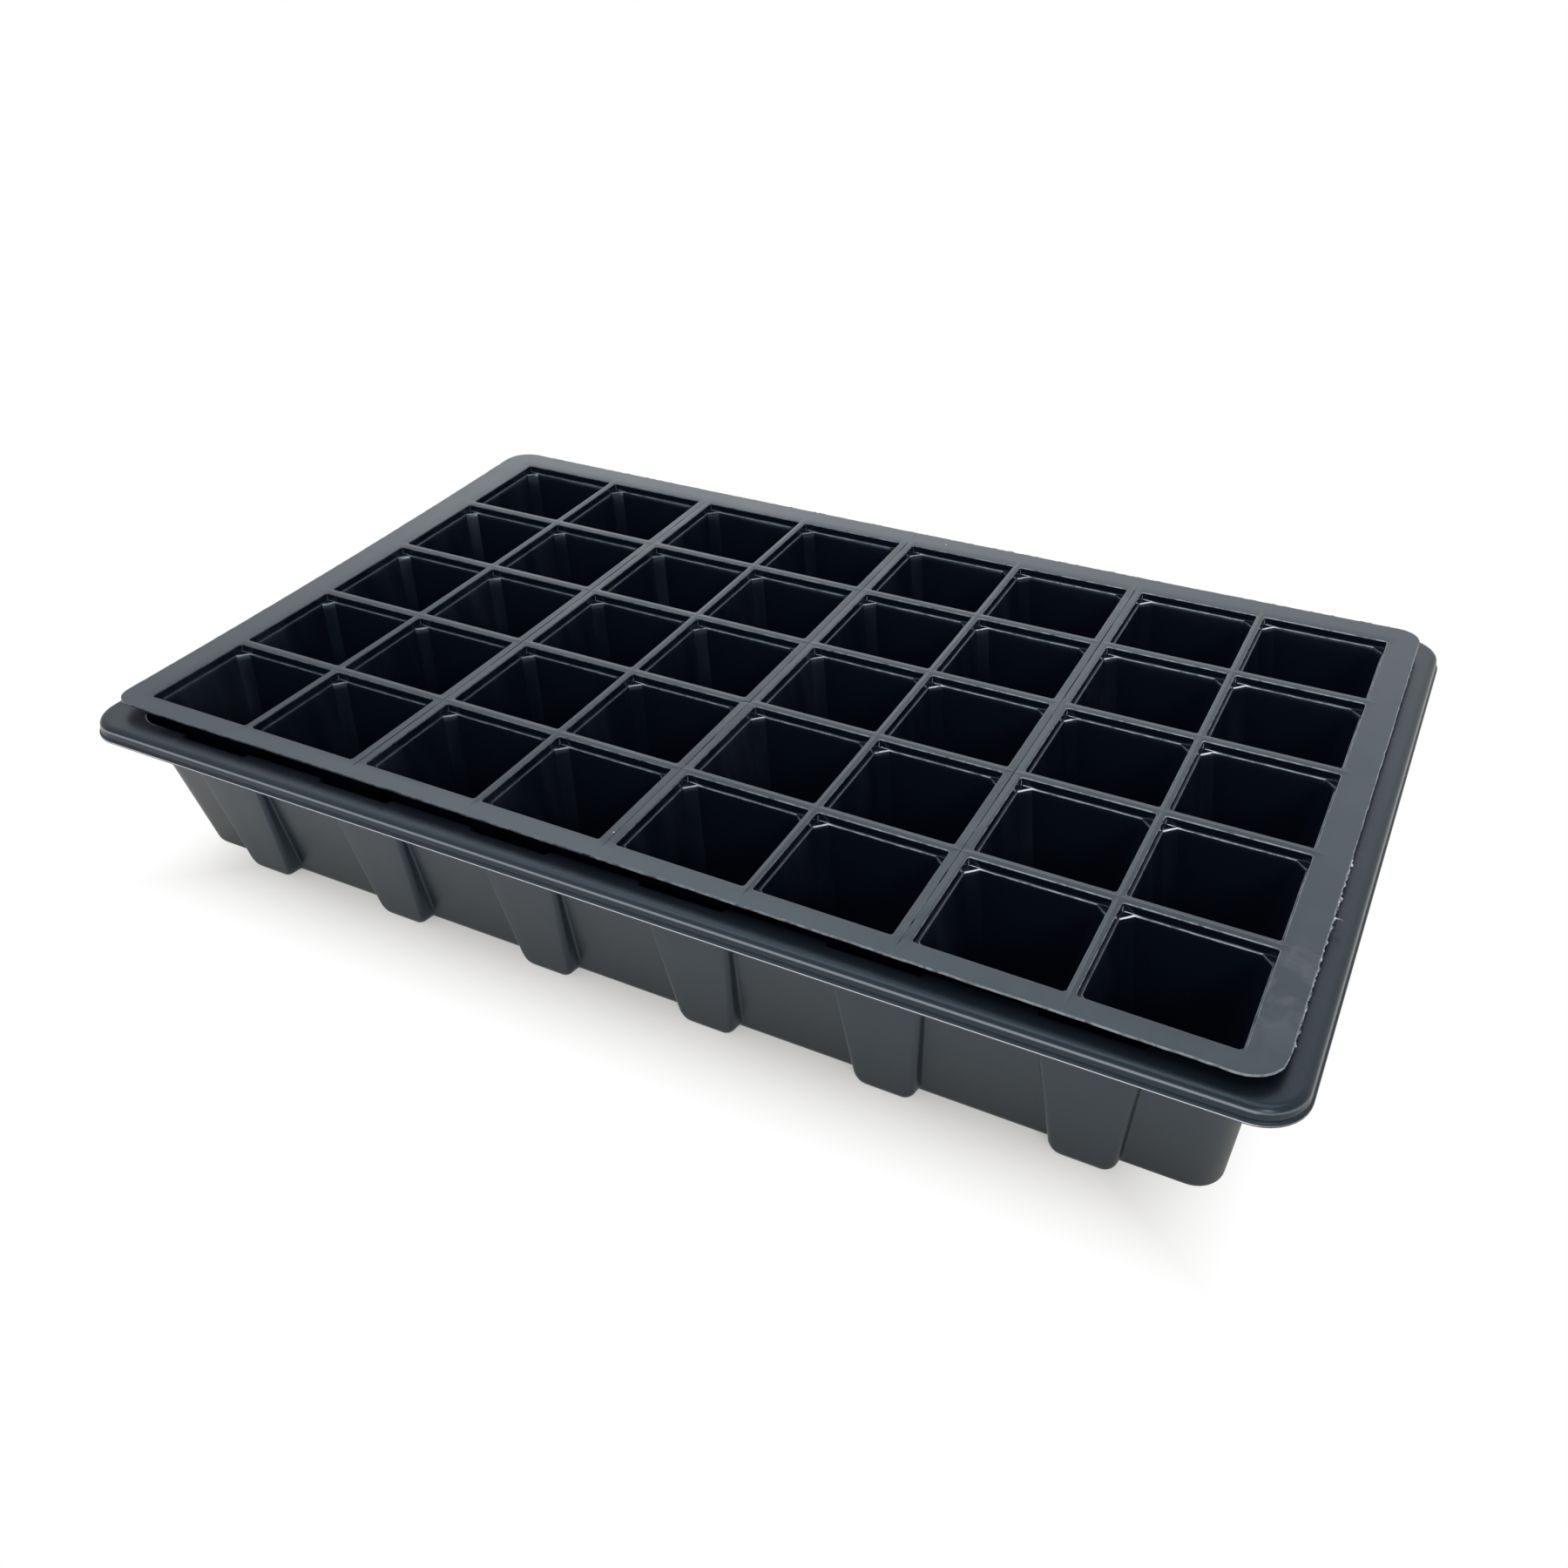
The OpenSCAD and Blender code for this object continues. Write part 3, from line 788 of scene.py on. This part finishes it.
# Trim burrs: the rough edge that is left where the sheet was trimmed, drawn out into threads and beads.
# They are part of the sheet: dark and fine along the back, coarser and whitened on the right edge of the
# last strip, where a loose whisker sticks out.
whitened = blank_material("stress-whitened polystyrene")
tree = whitened.node_tree
place = add(tree, "ShaderNodeTexCoord", "Object")
flecks = add(tree, "ShaderNodeTexNoise", "Fac", {"Vector": place, "Scale": 1 / (2.2 * mm), "Detail": 4.0})
shade = add(tree, "ShaderNodeValToRGB", "Color", {"Fac": flecks}, stops=[
    (0.36, "#1d2123"), (0.47, "#7d8487"), (0.6, "#dde2e4"),
])
rough = add(tree, "ShaderNodeMapRange", "Result", {"Value": flecks, "To Min": 0.35, "To Max": 0.7})
bump = add(tree, "ShaderNodeBump", "Normal", {"Height": flecks, "Strength": 0.3, "Distance": 0.1 * mm})
surface = add(tree, "ShaderNodeBsdfPrincipled", "BSDF", {
    "Base Color": shade, "Roughness": rough, "Normal": bump, "IOR": 1.6,
})
add(tree, "ShaderNodeOutputMaterial", inputs={"Surface": surface})

# A thread of uneven girth wavers along the edge line, with a bead at some of its points.
burrs = start_group("trim_burrs", {
    "Edge line": "Object", "Thread radius": "Float", "Waver": "Float", "Bead share": "Float", "Seed": "Int",
    "Plastic": "Material",
})
given = add(burrs, "NodeGroupInput")
edge_line = add(burrs, "GeometryNodeObjectInfo", "Geometry", {"Object": given["Edge line"]})
curve = add(burrs, "GeometryNodeMeshToCurve", "Curve", {"Mesh": edge_line})
stepped = add(burrs, "GeometryNodeResampleCurve", "Curve", {
    "Curve": curve, "Length": 0.4 * mm,
}, mode="LENGTH")
wander = add(burrs, "ShaderNodeTexNoise", "Color", {"Scale": 1 / (1.6 * mm), "Detail": 2.0})
centred = add(burrs, "ShaderNodeVectorMath", "Vector", {
    0: wander, 1: (0.5, 0.5, 0.55),
}, operation="SUBTRACT")
shift = add(burrs, "ShaderNodeVectorMath", "Vector", {
    0: centred, "Scale": given["Waver"],
}, operation="SCALE")
thread = add(burrs, "GeometryNodeSetPosition", "Geometry", {"Geometry": stepped, "Offset": shift})
swell = add(burrs, "ShaderNodeTexNoise", "Fac", {"Scale": 1 / (3 * mm), "Detail": 3.0})
girth = add(burrs, "ShaderNodeMapRange", "Result", {
    "Value": swell, "From Min": 0.35, "From Max": 0.7, "To Min": 0.25, "To Max": 1.6,
})
thread_section = add(burrs, "GeometryNodeCurvePrimitiveCircle", "Curve", {
    "Resolution": 5, "Radius": given["Thread radius"],
})
tube = add(burrs, "GeometryNodeCurveToMesh", "Mesh", {
    "Curve": thread, "Profile Curve": thread_section, "Scale": girth, "Fill Caps": True,
})
chosen = add(burrs, "FunctionNodeRandomValue", 3, {
    "Probability": given["Bead share"], "Seed": given["Seed"],
}, data_type="BOOLEAN")
bead = add(burrs, "GeometryNodeMeshIcoSphere", "Mesh", {
    "Radius": given["Thread radius"], "Subdivisions": 2,
})
bead_size = add(burrs, "FunctionNodeRandomValue", 1, {2: 1.2, 3: 2.6, "Seed": given["Seed"]})
beads = add(burrs, "GeometryNodeInstanceOnPoints", "Instances", {
    "Points": thread, "Selection": chosen, "Instance": bead, "Scale": bead_size,
})
joined = add(burrs, "GeometryNodeJoinGeometry", "Geometry", {"Geometry": [tube, beads]})
real = add(burrs, "GeometryNodeRealizeInstances", "Geometry", {"Geometry": joined})
coated = add(burrs, "GeometryNodeSetMaterial", "Geometry", {"Geometry": real, "Material": given["Plastic"]})
add(burrs, "NodeGroupOutput", inputs={"Geometry": coated})

burr_kinds = {
    "back": {"along": 0, "shift": (0, 0.2, -0.22), "Thread radius": 0.15, "Waver": 0.9, "Bead share": 0.0},
    "right": {"along": 1, "shift": (0, 0, -0.5), "Thread radius": 0.21, "Waver": 1.6, "Bead share": 0.08},
}
top_sheet_from = 59.5
back_burr_from = 107
right_burr_from = 170
right_burr_middle = -61
right_burr_half = 39
whisker_root = -50
whisker = np.array([(0, 0, 0), (0.9, 0.2, 0.1), (1.7, 0.1, 0.0), (2.3, -0.2, -0.1), (2.7, 0.1, -0.2)])
for strip, strip_skin in enumerate(strip_skins):
    strip_mesh = strip_skin.data
    sharp_points = sorted({v for edge in strip_mesh.edges if edge.use_edge_sharp for v in edge.vertices})
    rim = np.array([strip_mesh.vertices[i].co for i in sharp_points]) / mm
    rim = rim[rim[:, 2] > top_sheet_from]
    runs = {"back": rim[rim[:, 1] > back_burr_from]}
    if strip == last_strip:
        on_right = (rim[:, 0] > right_burr_from) & (abs(rim[:, 1] - right_burr_middle) < right_burr_half)
        runs["right"] = rim[on_right]
    for edge_name, run in runs.items():
        kind = burr_kinds[edge_name]
        chain = run[np.argsort(run[:, kind["along"]])]
        links = [(i, i + 1) for i in range(len(chain) - 1)]
        if edge_name == "right":
            root = chain[np.argmin(abs(chain[:, 1] - whisker_root))]
            links += [(len(chain) + i, len(chain) + i + 1) for i in range(len(whisker) - 1)]
            chain = np.vstack([chain, root + whisker])
        line_points = [tuple(p) for p in (chain + kind["shift"]) * mm]
        line = put_in_scene("edge_line", make_mesh("edge_line", line_points, links, []))
        burr_name = f"trim_burr_{edge_name}_{strip + 1}"
        burr_mesh = grow(burr_name, burrs, {
            "Edge line": line, "Thread radius": kind["Thread radius"] * mm, "Waver": kind["Waver"] * mm,
            "Bead share": kind["Bead share"], "Seed": strip + 3,
            "Plastic": whitened if edge_name == "right" else polystyrene,
        })
        bpy.data.objects.remove(line)
        burr_mesh.shade_smooth()
        burr = put_in_scene(burr_name, burr_mesh)
        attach(burr, f"strip_{strip + 1}")

# Studio: a plain white paper floor that keeps the tray's soft shadow, bright surroundings, a broad light
# overhead and a small one at the front right. The floor and the surroundings read as white in the picture
# without adding light to the tray.
floor_points = [(-6, -6, 0), (6, -6, 0), (6, 6, 0), (-6, 6, 0)]
floor_mesh = make_mesh("studio_floor", floor_points, [], [(0, 1, 2, 3)])
floor = put_in_scene("studio_floor", floor_mesh)
paper = blank_material("white studio paper")
tree = paper.node_tree
matt = add(tree, "ShaderNodeBsdfDiffuse", "BSDF", {"Color": colour("#f3efe6")})
white = add(tree, "ShaderNodeEmission", "Emission", {"Color": colour("#ffffff"), "Strength": 1.0})
place = add(tree, "ShaderNodeTexCoord", "Object")
axes = add(tree, "ShaderNodeSeparateXYZ", inputs={"Vector": place})

# Past the shadow in front, at the ends and behind, the paper turns to pure white for the camera. For
# reflections it does so further out in front.
front = add(tree, "ShaderNodeMapRange", "Result", {
    "Value": axes["Y"], "From Min": -95 * mm, "From Max": -128 * mm, "To Min": 0.3,
})
mirrored = add(tree, "ShaderNodeMapRange", "Result", {
    "Value": axes["Y"], "From Min": -95 * mm, "From Max": -150 * mm, "To Min": 0.1,
})
aside = add(tree, "ShaderNodeMath", "Value", {0: axes["X"]}, operation="ABSOLUTE")
ends = add(tree, "ShaderNodeMapRange", "Result", {
    "Value": aside, "From Min": 120 * mm, "From Max": 180 * mm,
})
behind = add(tree, "ShaderNodeMapRange", "Result", {
    "Value": axes["Y"], "From Min": 80 * mm, "From Max": 110 * mm,
})
around = add(tree, "ShaderNodeMath", "Value", {0: behind, 1: ends}, operation="MAXIMUM")
fade = add(tree, "ShaderNodeMath", "Value", {0: front, 1: around}, operation="MAXIMUM")
path = add(tree, "ShaderNodeLightPath")
seen = add(tree, "ShaderNodeMath", "Value", {0: path["Is Camera Ray"], 1: fade}, operation="MULTIPLY")
gloss = add(tree, "ShaderNodeMath", "Value", {0: path["Is Glossy Ray"], 1: mirrored}, operation="MULTIPLY")
lift = add(tree, "ShaderNodeMath", "Value", {0: seen, 1: gloss}, operation="MAXIMUM")
surface = add(tree, "ShaderNodeMixShader", "Shader", {0: lift, 1: matt, 2: white})
add(tree, "ShaderNodeOutputMaterial", inputs={"Surface": surface})
paper.cycles.emission_sampling = "NONE"
floor_mesh.materials.append(paper)

# Surroundings: bright up to a height and dim above it, a little dimmer in front, and graded from side to
# side with the brightest part at the left.
world = bpy.data.worlds.new("studio")
bpy.context.scene.world = world
world.use_nodes = True
tree = world.node_tree
tree.nodes.clear()
way = add(tree, "ShaderNodeSeparateXYZ", inputs={"Vector": add(tree, "ShaderNodeTexCoord", "Generated")})
height = add(tree, "ShaderNodeMapRange", "Result", {
    "Value": way["Z"], "From Min": 0.7, "From Max": 0.88, "To Min": 1.9, "To Max": 0.3,
})
front = add(tree, "ShaderNodeMapRange", "Result", {
    "Value": way["Y"], "From Min": -0.5, "From Max": 0.0, "To Min": 0.65,
})
power = add(tree, "ShaderNodeMath", "Value", {0: height, 1: front}, operation="MULTIPLY")
sideways = add(tree, "ShaderNodeMapRange", "Result", {"Value": way["X"], "From Min": -1.0})
panels = add(tree, "ShaderNodeValToRGB", "Color", {"Fac": sideways}, stops=[
    (0.12, "#a4a4a4"), (0.24, "#ffffff"), (0.28, "#fbfbfb"), (0.34, "#e9e9e9"), (0.44, "#dfdfdf"),
    (0.5, "#c8c8c8"), (0.8, "#a5a5a5"),
])
room = add(tree, "ShaderNodeBackground", "Background", {"Color": panels, "Strength": power})
clear = add(tree, "ShaderNodeBackground", "Background", {"Color": colour("#ffffff"), "Strength": 1.0})
seen = add(tree, "ShaderNodeLightPath", "Is Camera Ray")
surface = add(tree, "ShaderNodeMixShader", "Shader", {0: seen, 1: room, 2: clear})
add(tree, "ShaderNodeOutputWorld", inputs={"Surface": surface})


def softbox(name, stand, aim, width, height, watts):
    """Rectangular studio light that points at a spot."""
    light = bpy.data.lights.new(name, "AREA")
    light.shape = "RECTANGLE"
    light.size = width
    light.size_y = height
    light.energy = watts
    lamp = put_in_scene(name, light)
    lamp.location = stand
    lamp.rotation_euler = (Vector(aim) - Vector(stand)).to_track_quat("-Z", "Y").to_euler()


softbox("overhead_light", (0.0, -0.1, 1.4), (0.0, 0.0, 0.0), 1.8, 1.0, 10.0)
softbox("side_light", (0.9, -1.1, 0.8), (0.0, 0.0, 0.03), 0.35, 0.35, 5.0)

camera_data = bpy.data.cameras.new("photo_camera")
camera_data.sensor_width = 36.0
camera_data.lens = 32.913
camera_data.clip_start = 0.01
camera_data.clip_end = 50.0
camera = put_in_scene("photo_camera", camera_data)
camera_stand = Matrix.Translation((0.191075, -0.357857, 0.294313))
camera_swing = Matrix.Rotation(math.radians(28.053), 4, "Z")
camera_tilt = Matrix.Rotation(math.radians(90 - 34.563), 4, "X")
camera_roll = Matrix.Rotation(math.radians(-1.2247), 4, "Z")
camera.matrix_world = camera_stand @ camera_swing @ camera_tilt @ camera_roll
bpy.context.scene.camera = camera
bpy.context.scene.view_settings.view_transform = "Standard"
